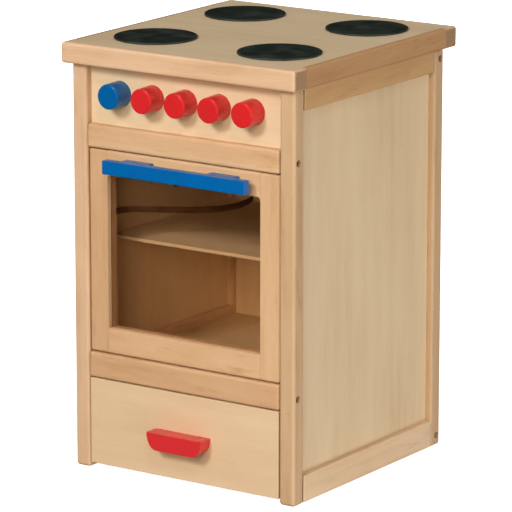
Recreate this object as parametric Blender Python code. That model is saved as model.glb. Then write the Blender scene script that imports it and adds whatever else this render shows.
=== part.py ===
"""Wooden toy kitchen: a play stove with four hobs, five knobs, a drop-down oven door and a drawer.

The front faces -Y, X runs to the right and Z up. The origin is on the floor, in the middle of the overall
size. Every size is in metres: a number of millimetres times MM. Change the named sizes below and run the
script again.
"""

import math

import bmesh
import bpy
from mathutils import Matrix, Vector

MM = 0.001

# Overall size: the worktop's outline, and its height above the floor.
WIDTH = 395 * MM
DEPTH = 420 * MM
HEIGHT = 620 * MM

# Fits.
GAP = 0.3 * MM  # between pieces that touch
DOOR_GAP = 1.5 * MM  # round the door and the drawer front
PIN_PLAY = 0.3 * MM  # between a pin and its hole, on the radius
OVERCUT = 1 * MM  # how far a cutter runs past what it cuts

# Worktop.
TOP_THICK = 30 * MM
TOP_FRONT_OVERHANG = 14 * MM
TOP_BACK_OVERHANG = 20 * MM
TOP_SIDE_OVERHANG = 9 * MM
TOP_ROUND = 4 * MM
EDGE_STRIP_WIDTH = 30 * MM
EDGE_LIP = 8 * MM  # what shows of an edge strip beside the sunk panel
TOP_PANEL_THICK = 5 * MM

# Hobs.
HOB_DIAMETER = 118.5 * MM
HOB_THICK = 2.6 * MM
HOB_ROUND = 0.9 * MM
HOB_SPACING_X = 210.5 * MM
HOB_SPACING_Y = 223 * MM
HOB_SHIFT_BACK = 2.5 * MM  # how far the four stand behind the worktop's middle

# Legs, rails and panels of the carcass.
LEG = 25 * MM
LEG_ROUND = 4.5 * MM
RAIL_THICK = 20 * MM
PANEL_THICK = 5 * MM
PANEL_RECESS = 10 * MM  # the side and back panels, from the outer faces of the legs
CONTROL_RECESS = 12 * MM  # the control panel, from the front faces of the legs
GROOVE_DEEP = 6 * MM
SIDE_TOP_RAIL_HIGH = 32 * MM
SIDE_BOTTOM_RAIL_HIGH = 39 * MM
BACK_TOP_RAIL_HIGH = 28 * MM
BACK_BOTTOM_RAIL_HIGH = 28 * MM
SIDE_RAIL_ROUND = 1.5 * MM
RAIL_LIFT = 1 * MM  # the bottom rails above the floor

# Front of the carcass, from the top down.
CONTROL_HIGH = 85.5 * MM
UPPER_RAIL_HIGH = 33.8 * MM
LOWER_RAIL_TOP = 172.5 * MM  # above the floor
LOWER_RAIL_HIGH = 37 * MM
FRONT_RAIL_ROUND = 4 * MM

# Screw heads sunk in the sides of the legs.
SCREW_HOLE_DIAMETER = 10 * MM
SCREW_HOLE_DEEP = 9 * MM

# Knobs.
KNOB_COUNT = 5
KNOB_SPACING = 56.5 * MM
KNOB_ABOVE_RAIL = 46 * MM
KNOB_LONG = 30.5 * MM
KNOB_FRONT_DIAMETER = 36 * MM
KNOB_BACK_DIAMETER = 38 * MM
KNOB_ROUND = 3 * MM
KNOB_BORE_DEEP = 18 * MM
SPINDLE_DIAMETER = 8 * MM
SPINDLE_HEAD_DIAMETER = 18 * MM
SPINDLE_HEAD_THICK = 5 * MM

# Oven.
OVEN_FLOOR_TOP = 150.5 * MM  # above the floor
OVEN_FLOOR_THICK = 5 * MM
FLOOR_RAIL_ABOVE = 14 * MM  # the floor rail's height above the oven floor
FLOOR_RAIL_BELOW = 15 * MM
FLOOR_LEDGE_WIDTH = 12 * MM
SHELF_TOP = 328.5 * MM  # above the floor
SHELF_THICK = 5 * MM
SHELF_BEHIND_LEG = 74 * MM  # the shelf's front edge behind the legs' front faces
SHELF_HOUSING_DEEP = 2.5 * MM

# Oven door.
DOOR_THICK = 20 * MM
DOOR_RECESS = 3 * MM
DOOR_STILE_WIDTH = 32 * MM
DOOR_TOP_RAIL_HIGH = 34.5 * MM
DOOR_BOTTOM_RAIL_HIGH = 36.5 * MM
DOOR_ROUND = 3.5 * MM
WINDOW_THICK = 3 * MM
WINDOW_BEHIND_FACE = 8 * MM
WINDOW_GROOVE_DEEP = 6 * MM
WINDOW_CORNER_ROUND = 6 * MM
HINGE_INSET = 6.5 * MM  # the hinge axis above the door's bottom edge and behind its face
HINGE_PIN_DIAMETER = 5 * MM
HINGE_PIN_IN_LEG = 10 * MM
HINGE_PIN_IN_DOOR = 14 * MM

# Handle of the oven door.
BAR_LONG = 242 * MM
BAR_HIGH = 20 * MM
BAR_THICK = 12.5 * MM
BAR_ROUND = 1.5 * MM
BAR_BELOW_DOOR_TOP = 8.9 * MM
STANDOFF_LONG = 46.5 * MM
STANDOFF_DEEP = 13.5 * MM
STANDOFF_SPACING = 145.5 * MM

# Catch that holds the oven door shut.
CATCH_WIDTH = 40 * MM
CATCH_BEHIND_DOOR = 1.5 * MM
CATCH_THICK = 12 * MM
CATCH_HIGH = 30 * MM
CATCH_OVERLAP = 14 * MM  # how far the catch reaches below the door's top edge
CATCH_PLATE_WIDTH = 30 * MM
CATCH_PLATE_HIGH = 12 * MM
CATCH_PLATE_THICK = 1 * MM

# Strap that stops the oven door. Its route is seen from above, in millimetres: (to the right of the left
# side panel's inner face, behind the door's inner face), from the screw on the door to the one on the panel.
STRAP_WIDTH = 9 * MM
STRAP_THICK = 3 * MM
STRAP_BELOW_DOOR_TOP = 95 * MM
STRAP_STEPS = 4  # between two points of the route
STRAP_ROUTE = (
    (16, 1.9), (24, 2.1), (31, 4.5), (34.5, 12), (37, 24), (46, 37), (71, 51), (98, 67), (125, 83),
    (146, 105), (156, 130), (157, 152), (152, 176), (139, 202), (112, 228), (74, 243), (38, 243),
    (13, 232), (4, 221), (2.1, 212), (1.9, 203),
)

# Drawer.
DRAWER_FRONT_THICK = 12 * MM
DRAWER_RECESS = 1 * MM
DRAWER_ABOVE_FLOOR = 7.5 * MM
DRAWER_FRONT_ROUND = 1.2 * MM
DRAWER_SIDE_THICK = 8 * MM
DRAWER_SIDE_BOTTOM = 24 * MM  # above the floor
DRAWER_SIDE_HIGH = 92 * MM
DRAWER_SIDE_GAP = 2 * MM  # between the drawer's sides and the legs
DRAWER_BACK_CLEAR = 12 * MM  # between the drawer and the back panel
DRAWER_BOTTOM_THICK = 4 * MM
DRAWER_BOTTOM_LIFT = 6 * MM  # the drawer's bottom above the lower edges of its sides
DRAWER_GROOVE_DEEP = 4 * MM
RUNNER_HIGH = 12 * MM
RUNNER_UNDER_DRAWER = 12 * MM

# Handle of the drawer.
PULL_TOP_WIDTH = 94 * MM
PULL_BOTTOM_WIDTH = 62.5 * MM
PULL_HIGH = 25 * MM
PULL_DEEP = 23.5 * MM
PULL_TOP_ABOVE_FLOOR = 77 * MM
PULL_LIP = 8 * MM
PULL_UNDERSIDE_RISE = 6 * MM  # how far the underside behind the lip is above the lip's edge
PULL_FINGER_RISE = 13 * MM
PULL_FINGER_WIDTH = 54 * MM
PULL_BACK_WALL = 4 * MM

# Roundness.
ROUND_STEPS = 4
TURN_STEPS = 56
HOB_STEPS = 96
PIN_STEPS = 24
CORNER_STEPS = 6

# Planes that the sizes give. The handle and the knobs stand in front of the worktop's edge.
HANDLE_STANDS_OUT = STANDOFF_DEEP + BAR_THICK - DOOR_RECESS
KNOBS_STAND_OUT = KNOB_LONG + GAP - CONTROL_RECESS
STANDS_OUT = max(0, HANDLE_STANDS_OUT - TOP_FRONT_OVERHANG, KNOBS_STAND_OUT - TOP_FRONT_OVERHANG)
TOP_FRONT = (STANDS_OUT - DEPTH) / 2
TOP_BACK = TOP_FRONT + DEPTH
TOP_SIDE = WIDTH / 2
CARCASS_TOP = HEIGHT - TOP_THICK
LEG_FRONT = TOP_FRONT + TOP_FRONT_OVERHANG
LEG_BACK = TOP_BACK - TOP_BACK_OVERHANG
LEG_SIDE = TOP_SIDE - TOP_SIDE_OVERHANG
BETWEEN_LEGS = LEG_SIDE - LEG  # half the width between the left and right legs
PANEL_OUTSIDE = LEG_SIDE - PANEL_RECESS
PANEL_INSIDE = PANEL_OUTSIDE - PANEL_THICK
BACK_PANEL_INSIDE = LEG_BACK - PANEL_RECESS - PANEL_THICK
CONTROL_FRONT = LEG_FRONT + CONTROL_RECESS
UPPER_RAIL_TOP = CARCASS_TOP - CONTROL_HIGH
UPPER_RAIL_BOTTOM = UPPER_RAIL_TOP - UPPER_RAIL_HIGH
LOWER_RAIL_BOTTOM = LOWER_RAIL_TOP - LOWER_RAIL_HIGH
SIDE_TOP_RAIL_BOTTOM = CARCASS_TOP - SIDE_TOP_RAIL_HIGH
SIDE_BOTTOM_RAIL_TOP = RAIL_LIFT + SIDE_BOTTOM_RAIL_HIGH
BACK_BOTTOM_RAIL_TOP = RAIL_LIFT + BACK_BOTTOM_RAIL_HIGH
KNOB_HEIGHT = UPPER_RAIL_TOP + KNOB_ABOVE_RAIL
DOOR_SIDE = BETWEEN_LEGS - DOOR_GAP
DOOR_FRONT = LEG_FRONT + DOOR_RECESS
DOOR_BACK = DOOR_FRONT + DOOR_THICK
DOOR_BOTTOM = LOWER_RAIL_TOP + DOOR_GAP
DOOR_TOP = UPPER_RAIL_BOTTOM - DOOR_GAP
WINDOW_SIDE = DOOR_SIDE - DOOR_STILE_WIDTH
WINDOW_BOTTOM = DOOR_BOTTOM + DOOR_BOTTOM_RAIL_HIGH
WINDOW_TOP = DOOR_TOP - DOOR_TOP_RAIL_HIGH
HINGE_AXIS = Vector((0, DOOR_FRONT + HINGE_INSET, DOOR_BOTTOM + HINGE_INSET))
DRAWER_FRONT = LEG_FRONT + DRAWER_RECESS
DRAWER_BOX_FRONT = DRAWER_FRONT + DRAWER_FRONT_THICK
DRAWER_BOX_BACK = BACK_PANEL_INSIDE - DRAWER_BACK_CLEAR
DRAWER_SIDE = BETWEEN_LEGS - DRAWER_SIDE_GAP

FACES = {"left": (0, 0), "right": (0, 1), "front": (1, 0), "back": (1, 1), "bottom": (2, 0), "top": (2, 1)}


def clear_scene():
    for obj in list(bpy.data.objects):
        bpy.data.objects.remove(obj, do_unlink=True)


def material(name, colour, roughness, metallic=0.0, transmission=0.0):
    """A plain Principled material."""
    made = bpy.data.materials.new(name)
    made.use_nodes = True
    shader = made.node_tree.nodes["Principled BSDF"]
    shader.inputs["Base Color"].default_value = (*colour, 1)
    shader.inputs["Roughness"].default_value = roughness
    shader.inputs["Metallic"].default_value = metallic
    shader.inputs["Transmission Weight"].default_value = transmission
    made.diffuse_color = (*colour, 1)
    return made


def empty(name, place, parent=None):
    """A frame that pieces hang on. A moving one stands on its joint's axis."""
    made = bpy.data.objects.new(name, None)
    made.empty_display_size = 30 * MM
    made.location = Vector(place)
    made.parent = parent
    bpy.context.scene.collection.objects.link(made)
    return made


def add_object(name, bm, place, surface, body):
    """Makes an object of bm, whose origin is at place in the world, on a body's frame."""
    bmesh.ops.recalc_face_normals(bm, faces=bm.faces)
    mesh = bpy.data.meshes.new(name)
    bm.to_mesh(mesh)
    bm.free()
    made = bpy.data.objects.new(name, mesh)
    made.parent = body
    made.location = Vector(place) - body.location
    if surface:
        mesh.materials.append(surface)
    bpy.context.scene.collection.objects.link(made)
    return made


def on_face(point, low, high, face):
    axis, end = FACES[face]
    return abs(point[axis] - (low, high)[end][axis]) < 1e-6


def cuboid(name, low, high, surface, body, edges=(), radius=0.0):
    """A box between two corners. edges lists pairs of faces whose shared edge is rounded, or is "all"."""
    low = Vector(low)
    high = Vector(high)
    middle = (low + high) / 2
    bm = bmesh.new()
    bmesh.ops.create_cube(bm, size=1, matrix=Matrix.Diagonal((*(high - low), 1)))
    if edges == "all":
        picked = list(bm.edges)
    else:
        picked = [
            edge
            for edge in bm.edges
            for pair in edges
            if all(on_face(vert.co + middle, low, high, face) for vert in edge.verts for face in pair)
        ]
    if picked:
        bmesh.ops.bevel(
            bm, geom=picked, offset=radius, segments=ROUND_STEPS, profile=0.5, affect="EDGES",
        )
    return add_object(name, bm, middle, surface, body)


def turned(name, profile, place, surface, body, steps, turn=None):
    """A lathe shape. profile holds (radius, height) pairs from one end to the other, and turn lays it down."""
    points = [(0, profile[0][1]), *profile, (0, profile[-1][1])]
    bm = bmesh.new()
    verts = [bm.verts.new((radius, 0, height)) for radius, height in points]
    edges = [bm.edges.new(pair) for pair in zip(verts, verts[1:])]
    bmesh.ops.spin(
        bm, geom=verts + edges, cent=(0, 0, 0), axis=(0, 0, 1), angle=math.tau, steps=steps,
        use_merge=True,
    )
    bmesh.ops.remove_doubles(bm, verts=bm.verts, dist=1e-6)
    if turn:
        bmesh.ops.transform(bm, matrix=turn, verts=bm.verts)
    return add_object(name, bm, place, surface, body)


def to_front():
    """Turns a lathe shape's height towards the front of the kitchen."""
    return Matrix.Rotation(math.radians(90), 4, "X")


def inward(side):
    """Turns a lathe shape's height from one side of the kitchen towards its middle."""
    return Matrix.Rotation(math.radians(-90 * side), 4, "Y")


def arc(centre, radius_x, radius_z, start, end, steps):
    """Points of an ellipse's arc between two angles in degrees."""
    for step in range(steps + 1):
        angle = math.radians(start + (end - start) * step / steps)
        yield (centre[0] + radius_x * math.cos(angle), centre[1] + radius_z * math.sin(angle))


def plate(name, outline, front, back, surface, body):
    """A closed outline in X and Z, given to the world, extruded from front to back."""
    bm = bmesh.new()
    face = bm.faces.new([bm.verts.new((x, 0, z)) for x, z in outline])
    grown = bmesh.ops.extrude_face_region(bm, geom=[face])["geom"]
    moved = [item for item in grown if isinstance(item, bmesh.types.BMVert)]
    bmesh.ops.translate(bm, vec=(0, back - front, 0), verts=moved)
    return add_object(name, bm, (0, front, 0), surface, body)


def cut(target, cutter):
    """Cuts one piece's shape out of another with a Boolean, and keeps the cutter out of renders."""
    cutter.hide_render = True
    cutter.display_type = "WIRE"
    boolean = target.modifiers.new(cutter.name, "BOOLEAN")
    boolean.operation = "DIFFERENCE"
    boolean.object = cutter


def groove(target, low, high):
    """A box-shaped cut with a clearance all round."""
    play = Vector((GAP, GAP, GAP))
    name = "groove_in_" + target.name
    cut(target, cuboid(name, Vector(low) - play, Vector(high) + play, None, target.parent))


def bore(target, start, long, diameter, turn):
    """A round hole that starts at a point and runs along turn's direction."""
    radius = diameter / 2
    profile = [(radius, -OVERCUT), (radius, long)]
    name = "bore_in_" + target.name
    cut(target, turned(name, profile, start, None, target.parent, PIN_STEPS, turn))


def both_sides():
    """The two sides as (name, sign of X)."""
    return (("left", -1), ("right", 1))


def spread(inner, outer, side):
    """The X range between two distances from the middle, on one side."""
    return sorted((side * inner, side * outer))


def make_materials():
    return {
        "solid_wood": material("solid_wood", (0.70, 0.45, 0.27), 0.45),
        "plywood": material("plywood", (0.68, 0.50, 0.31), 0.5),
        "hob_black": material("hob_black", (0.012, 0.02, 0.018), 0.4),
        "blue_paint": material("blue_paint", (0.0, 0.13, 0.42), 0.35),
        "red_paint": material("red_paint", (0.66, 0.02, 0.03), 0.35),
        "smoked_acrylic": material("smoked_acrylic", (0.25, 0.13, 0.06), 0.05, transmission=0.9),
        "steel": material("steel", (0.6, 0.6, 0.6), 0.3, metallic=1.0),
        "leather": material("leather", (0.12, 0.05, 0.02), 0.7),
        "catch_plastic": material("catch_plastic", (0.15, 0.08, 0.04), 0.5),
    }


def make_worktop(wood, ply, body):
    """A sunk plywood panel in a frame of four solid strips. The front and back strips run the full width."""
    panel_low = Vector((-TOP_SIDE + EDGE_LIP, TOP_FRONT + EDGE_LIP, HEIGHT - TOP_PANEL_THICK))
    panel_high = Vector((TOP_SIDE - EDGE_LIP, TOP_BACK - EDGE_LIP, HEIGHT))
    cuboid("worktop_panel", panel_low, panel_high, ply, body)
    rebate_high = panel_high + Vector((0, 0, OVERCUT))
    for name, near, far in (
        ("front", TOP_FRONT, TOP_FRONT + EDGE_STRIP_WIDTH),
        ("back", TOP_BACK - EDGE_STRIP_WIDTH, TOP_BACK),
    ):
        around = [(name, face) for face in ("top", "bottom", "left", "right")]
        ends = [(side, face) for side in ("left", "right") for face in ("top", "bottom")]
        low = (-TOP_SIDE, near, CARCASS_TOP)
        high = (TOP_SIDE, far, HEIGHT)
        strip = cuboid(f"worktop_{name}_strip", low, high, wood, body, around + ends, TOP_ROUND)
        groove(strip, panel_low, rebate_high)
    for name, side in both_sides():
        near_x, far_x = spread(TOP_SIDE - EDGE_STRIP_WIDTH, TOP_SIDE, side)
        low = (near_x, TOP_FRONT + EDGE_STRIP_WIDTH + GAP, CARCASS_TOP)
        high = (far_x, TOP_BACK - EDGE_STRIP_WIDTH - GAP, HEIGHT)
        edges = [(name, "top"), (name, "bottom")]
        strip = cuboid(f"worktop_{name}_strip", low, high, wood, body, edges, TOP_ROUND)
        groove(strip, panel_low, rebate_high)


def make_hobs(black, body):
    """Four round hobs on the worktop."""
    radius = HOB_DIAMETER / 2
    middle_y = (TOP_FRONT + TOP_BACK) / 2 + HOB_SHIFT_BACK
    low = HEIGHT + GAP
    rim = arc((radius - HOB_ROUND, HOB_THICK - HOB_ROUND), HOB_ROUND, HOB_ROUND, 0, 90, ROUND_STEPS)
    profile = [(radius, 0), *rim]
    for row, way in (("front", -1), ("back", 1)):
        for name, side in both_sides():
            place = (side * HOB_SPACING_X / 2, middle_y + way * HOB_SPACING_Y / 2, low)
            turned(f"hob_{row}_{name}", profile, place, black, body, HOB_STEPS)


def make_legs(wood, body):
    """Four legs, grooved for the panels and bored for the screws of the front and back rails."""
    front_holes = ((UPPER_RAIL_TOP + UPPER_RAIL_BOTTOM) / 2, (LOWER_RAIL_TOP + LOWER_RAIL_BOTTOM) / 2)
    front_groove = (UPPER_RAIL_TOP - GROOVE_DEEP, CARCASS_TOP + OVERCUT)
    back_holes = (CARCASS_TOP - BACK_TOP_RAIL_HIGH / 2, RAIL_LIFT + BACK_BOTTOM_RAIL_HIGH / 2)
    back_groove = (BACK_BOTTOM_RAIL_TOP - GROOVE_DEEP, CARCASS_TOP - BACK_TOP_RAIL_HIGH + GROOVE_DEEP)
    for row, near, way, recess, end_z, holes in (
        ("front", LEG_FRONT, 1, CONTROL_RECESS, front_groove, front_holes),
        ("back", LEG_BACK, -1, PANEL_RECESS, back_groove, back_holes),
    ):
        near_y, far_y = sorted((near, near + way * LEG))
        inner_y = near + way * (LEG - GROOVE_DEEP)
        for name, side in both_sides():
            near_x, far_x = spread(BETWEEN_LEGS, LEG_SIDE, side)
            low = (near_x, near_y, 0)
            high = (far_x, far_y, CARCASS_TOP - GAP)
            leg = cuboid(f"leg_{row}_{name}", low, high, wood, body, "all", LEG_ROUND)
            panel_x = spread(PANEL_INSIDE, PANEL_OUTSIDE, side)
            panel_y = sorted((inner_y, inner_y + way * (GROOVE_DEEP + OVERCUT)))
            z = (SIDE_BOTTOM_RAIL_TOP - GROOVE_DEEP, SIDE_TOP_RAIL_BOTTOM + GROOVE_DEEP)
            groove(leg, (panel_x[0], panel_y[0], z[0]), (panel_x[1], panel_y[1], z[1]))
            end_x = spread(BETWEEN_LEGS - OVERCUT, BETWEEN_LEGS + GROOVE_DEEP, side)
            end_y = sorted((near + way * recess, near + way * (recess + PANEL_THICK)))
            groove(leg, (end_x[0], end_y[0], end_z[0]), (end_x[1], end_y[1], end_z[1]))
            if row == "front":
                hinge_bore(leg, side)
            for height in holes:
                start = (side * LEG_SIDE, near + way * RAIL_THICK / 2, height)
                bore(leg, start, SCREW_HOLE_DEEP, SCREW_HOLE_DIAMETER, inward(side))


def hinge_bore(piece, side):
    """The hole for a hinge pin, from inside the leg to inside the door's stile."""
    start = (side * (BETWEEN_LEGS + HINGE_PIN_IN_LEG + GAP), HINGE_AXIS.y, HINGE_AXIS.z)
    long = HINGE_PIN_IN_LEG + DOOR_GAP + HINGE_PIN_IN_DOOR + 2 * GAP
    radius = HINGE_PIN_DIAMETER / 2 + PIN_PLAY
    profile = [(radius, 0), (radius, long)]
    name = "hinge_bore_in_" + piece.name
    cut(piece, turned(name, profile, start, None, piece.parent, PIN_STEPS, inward(side)))


def make_hinge_pins(steel, body):
    """The two steel pins that the oven door turns on."""
    radius = HINGE_PIN_DIAMETER / 2
    profile = [(radius, 0), (radius, HINGE_PIN_IN_LEG + DOOR_GAP + HINGE_PIN_IN_DOOR)]
    for name, side in both_sides():
        start = (side * (BETWEEN_LEGS + HINGE_PIN_IN_LEG), HINGE_AXIS.y, HINGE_AXIS.z)
        turned(f"hinge_pin_{name}", profile, start, steel, body, PIN_STEPS, inward(side))


def make_side(name, side, wood, ply, body):
    """A side of the carcass: two rails between the legs and a sunk plywood panel."""
    rail_x = spread(LEG_SIDE - RAIL_THICK, LEG_SIDE, side)
    panel_x = spread(PANEL_INSIDE, PANEL_OUTSIDE, side)
    front = LEG_FRONT + LEG
    back = LEG_BACK - LEG
    panel_low = (panel_x[0], front - GROOVE_DEEP + GAP, SIDE_BOTTOM_RAIL_TOP - GROOVE_DEEP)
    panel_high = (panel_x[1], back + GROOVE_DEEP - GAP, SIDE_TOP_RAIL_BOTTOM + GROOVE_DEEP)
    for height, z in (
        ("top", (SIDE_TOP_RAIL_BOTTOM, CARCASS_TOP - GAP)),
        ("bottom", (RAIL_LIFT, SIDE_BOTTOM_RAIL_TOP)),
    ):
        low = (rail_x[0], front + GAP, z[0])
        high = (rail_x[1], back - GAP, z[1])
        rail = cuboid(f"side_{height}_rail_{name}", low, high, wood, body, "all", SIDE_RAIL_ROUND)
        groove(rail, panel_low, panel_high)
    panel = cuboid(f"side_panel_{name}", panel_low, panel_high, ply, body)
    housing_x = spread(PANEL_INSIDE - OVERCUT, PANEL_INSIDE + SHELF_HOUSING_DEEP, side)
    shelf_back = LEG_BACK - LEG - GAP
    groove(
        panel,
        (housing_x[0], LEG_FRONT + SHELF_BEHIND_LEG, SHELF_TOP - SHELF_THICK),
        (housing_x[1], shelf_back, SHELF_TOP),
    )


def make_back(wood, ply, body):
    """The back: two rails between the back legs and a sunk plywood panel."""
    top_rail_bottom = CARCASS_TOP - BACK_TOP_RAIL_HIGH
    side = BETWEEN_LEGS + GROOVE_DEEP - GAP
    panel_low = (-side, BACK_PANEL_INSIDE, BACK_BOTTOM_RAIL_TOP - GROOVE_DEEP)
    panel_high = (side, BACK_PANEL_INSIDE + PANEL_THICK, top_rail_bottom + GROOVE_DEEP)
    for name, z in (
        ("top", (top_rail_bottom, CARCASS_TOP - GAP)),
        ("bottom", (RAIL_LIFT, BACK_BOTTOM_RAIL_TOP)),
    ):
        low = (GAP - BETWEEN_LEGS, LEG_BACK - RAIL_THICK, z[0])
        high = (BETWEEN_LEGS - GAP, LEG_BACK, z[1])
        rail = cuboid(f"back_{name}_rail", low, high, wood, body, "all", SIDE_RAIL_ROUND)
        groove(rail, panel_low, panel_high)
    cuboid("back_panel", panel_low, panel_high, ply, body)


def make_front(wood, ply, body):
    """The two front rails and the control panel, which stands in the legs and the upper rail."""
    side = BETWEEN_LEGS - GAP
    panel_side = BETWEEN_LEGS + GROOVE_DEEP - GAP
    panel_low = (-panel_side, CONTROL_FRONT, UPPER_RAIL_TOP - GROOVE_DEEP)
    panel_high = (panel_side, CONTROL_FRONT + PANEL_THICK, CARCASS_TOP - GAP)
    rail_back = LEG_FRONT + RAIL_THICK
    for name, z in (
        ("upper", (UPPER_RAIL_BOTTOM, UPPER_RAIL_TOP)),
        ("lower", (LOWER_RAIL_BOTTOM, LOWER_RAIL_TOP)),
    ):
        low = (-side, LEG_FRONT, z[0])
        high = (side, rail_back, z[1])
        rail = cuboid(f"front_{name}_rail", low, high, wood, body, "all", FRONT_RAIL_ROUND)
        if name == "upper":
            groove(rail, panel_low, panel_high)
    panel = cuboid("control_panel", panel_low, panel_high, ply, body)
    for x in knob_places():
        start = (x, CONTROL_FRONT + PANEL_THICK, KNOB_HEIGHT)
        diameter = SPINDLE_DIAMETER + 2 * PIN_PLAY
        bore(panel, start, PANEL_THICK + OVERCUT, diameter, to_front())


def knob_places():
    return [(index - (KNOB_COUNT - 1) / 2) * KNOB_SPACING for index in range(KNOB_COUNT)]


def make_knobs(blue, red, wood, frame):
    """Five knobs in a row. Each turns on a headed spindle that is glued into it from behind the panel."""
    back = KNOB_BACK_DIAMETER / 2
    front = KNOB_FRONT_DIAMETER / 2
    bore_radius = SPINDLE_DIAMETER / 2 + PIN_PLAY
    rim = arc((front - KNOB_ROUND, KNOB_LONG - KNOB_ROUND), KNOB_ROUND, KNOB_ROUND, 0, 90, ROUND_STEPS)
    knob_profile = [(bore_radius, KNOB_BORE_DEEP), (bore_radius, 0), (back, 0), *rim]
    head_front = -PANEL_THICK - GAP
    spindle_profile = [
        (SPINDLE_HEAD_DIAMETER / 2, head_front - SPINDLE_HEAD_THICK),
        (SPINDLE_HEAD_DIAMETER / 2, head_front),
        (SPINDLE_DIAMETER / 2, head_front),
        (SPINDLE_DIAMETER / 2, KNOB_BORE_DEEP),
    ]
    for index, x in enumerate(knob_places(), start=1):
        body = empty(f"knob_{index}_axis", (x, CONTROL_FRONT, KNOB_HEIGHT), frame)
        paint = blue if index == 1 else red
        on_panel = body.location - Vector((0, GAP, 0))
        turned(f"knob_{index}", knob_profile, on_panel, paint, body, TURN_STEPS, to_front())
        turned(f"knob_spindle_{index}", spindle_profile, body.location, wood, body, PIN_STEPS, to_front())


def make_oven(wood, ply, body):
    """The oven's floor on two rails, and its shelf in the side panels."""
    floor_bottom = OVEN_FLOOR_TOP - OVEN_FLOOR_THICK
    front = LEG_FRONT + RAIL_THICK + GAP
    low = (GAP - BETWEEN_LEGS, front, floor_bottom)
    high = (BETWEEN_LEGS - GAP, BACK_PANEL_INSIDE - GAP, OVEN_FLOOR_TOP)
    cuboid("oven_floor", low, high, ply, body)
    for name, side in both_sides():
        x = spread(BETWEEN_LEGS - FLOOR_LEDGE_WIDTH, PANEL_INSIDE - GAP, side)
        low = (x[0], LEG_FRONT + LEG + GAP, floor_bottom - FLOOR_RAIL_BELOW)
        high = (x[1], LEG_BACK - LEG - GAP, OVEN_FLOOR_TOP + FLOOR_RAIL_ABOVE)
        rail = cuboid(f"floor_rail_{name}", low, high, wood, body)
        x = spread(BETWEEN_LEGS - FLOOR_LEDGE_WIDTH - OVERCUT, BETWEEN_LEGS - GAP, side)
        step_low = (x[0], low[1] - OVERCUT, floor_bottom)
        groove(rail, step_low, (x[1], high[1] + OVERCUT, high[2] + OVERCUT))
    shelf_side = PANEL_INSIDE + SHELF_HOUSING_DEEP
    shelf_low = (-shelf_side, LEG_FRONT + SHELF_BEHIND_LEG, SHELF_TOP - SHELF_THICK)
    cuboid("oven_shelf", shelf_low, (shelf_side, LEG_BACK - LEG - GAP, SHELF_TOP), ply, body)


def make_door_frame(wood, acrylic, body):
    """Two full-height stiles and two rails, grooved for the window."""
    pane_front = DOOR_FRONT + WINDOW_BEHIND_FACE
    hidden = WINDOW_GROOVE_DEEP
    pane_low = Vector((-WINDOW_SIDE - hidden, pane_front, WINDOW_BOTTOM - hidden))
    pane_high = Vector((WINDOW_SIDE + hidden, pane_front + WINDOW_THICK, WINDOW_TOP + hidden))
    cuboid("door_window", pane_low, pane_high, acrylic, body)
    for name, side in both_sides():
        x = spread(WINDOW_SIDE + GAP, DOOR_SIDE, side)
        edges = [(end, face) for end in ("top", "bottom") for face in ("front", "back", name)]
        edges += [(name, "front"), (name, "back")]
        low = (x[0], DOOR_FRONT, DOOR_BOTTOM)
        high = (x[1], DOOR_BACK, DOOR_TOP)
        stile = cuboid(f"door_stile_{name}", low, high, wood, body, edges, DOOR_ROUND)
        groove(stile, pane_low, pane_high)
        hinge_bore(stile, side)
    low = (-WINDOW_SIDE, DOOR_FRONT, DOOR_BOTTOM)
    high = (WINDOW_SIDE, DOOR_BACK, WINDOW_BOTTOM)
    edges = [("bottom", "front"), ("bottom", "back")]
    bottom = cuboid("door_bottom_rail", low, high, wood, body, edges, DOOR_ROUND)
    top = make_door_top_rail(wood, body)
    groove(bottom, pane_low, pane_high)
    groove(top, pane_low, pane_high)


def make_door_top_rail(wood, body):
    """The top rail, whose lower corners flow into the stiles and whose upper edges are rounded."""
    corner = WINDOW_CORNER_ROUND
    left = arc((corner - WINDOW_SIDE, WINDOW_TOP - corner), corner, corner, 180, 90, CORNER_STEPS)
    right = arc((WINDOW_SIDE - corner, WINDOW_TOP - corner), corner, corner, 90, 0, CORNER_STEPS)
    lower = [*left, *right]
    outline = [(-WINDOW_SIDE, DOOR_TOP), *lower, (WINDOW_SIDE, DOOR_TOP)]
    rail = plate("door_top_rail", outline, DOOR_FRONT, DOOR_BACK, wood, body)
    bm = bmesh.new()
    bm.from_mesh(rail.data)
    upper = [edge for edge in bm.edges if is_upper_long_edge(edge)]
    bmesh.ops.bevel(
        bm, geom=upper, offset=DOOR_ROUND, segments=ROUND_STEPS, profile=0.5, affect="EDGES",
    )
    bm.to_mesh(rail.data)
    bm.free()
    return rail


def is_upper_long_edge(edge):
    first, second = (vert.co for vert in edge.verts)
    at_top = min(first.z, second.z) > DOOR_TOP - 1e-6
    return at_top and abs(first.x - second.x) > WINDOW_SIDE


def make_door_handle(blue, body):
    """A bar on two blocks, across the top of the door."""
    bar_back = DOOR_FRONT - STANDOFF_DEEP
    top = DOOR_TOP - BAR_BELOW_DOOR_TOP
    low = (-BAR_LONG / 2, bar_back - BAR_THICK, top - BAR_HIGH)
    cuboid("door_handle_bar", low, (BAR_LONG / 2, bar_back, top), blue, body, "all", BAR_ROUND)
    for name, side in both_sides():
        middle = side * STANDOFF_SPACING / 2
        low = (middle - STANDOFF_LONG / 2, bar_back + GAP, top - BAR_HIGH)
        high = (middle + STANDOFF_LONG / 2, DOOR_FRONT - GAP, top)
        cuboid(f"door_handle_block_{name}", low, high, blue, body, "all", BAR_ROUND)


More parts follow.
